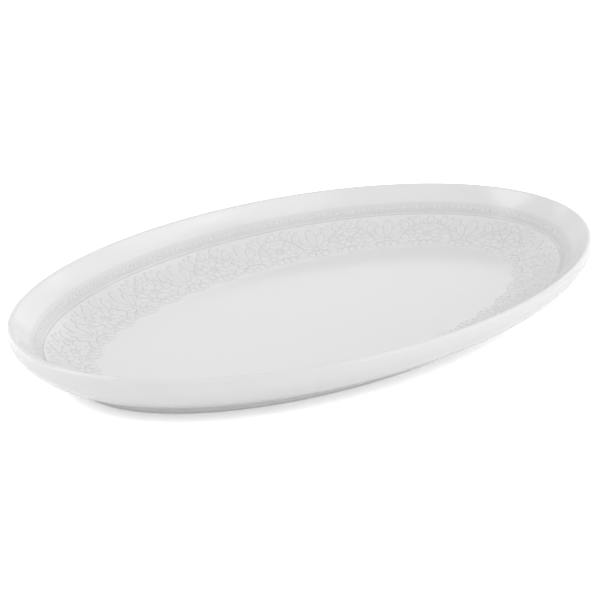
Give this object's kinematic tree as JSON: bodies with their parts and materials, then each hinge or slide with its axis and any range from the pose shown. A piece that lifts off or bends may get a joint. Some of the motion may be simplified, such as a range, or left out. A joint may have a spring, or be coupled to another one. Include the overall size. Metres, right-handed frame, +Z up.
{
  "type": "oval serving plate",
  "caption": "Long oval porcelain serving plate with a rounded lip, raised wall, hollow cove with a raised white ornamental border, flat floor and set-in foot ring.",
  "frame": {"origin": "on the table, under the middle of the plate", "axes": "+X along the plate's length, +Y across it, +Z up"},
  "size_m": [0.4, 0.246, 0.033],
  "materials": {
    "bare_porcelain": "unglazed hard porcelain, smooth and matt",
    "white_glaze": "clear glossy glaze over white porcelain",
    "white_enamel": "raised white enamel, satin"
  },
  "bodies": {
    "root": {"porcelain_body": "bare_porcelain", "foot_ring": "bare_porcelain", "dish_glaze": "white_glaze", "wall_glaze": "white_glaze", "base_glaze": "white_glaze", "bead_border": "white_enamel", "fine_line": "white_enamel", "frieze_relief": "white_enamel"}
  },
  "joints": []
}
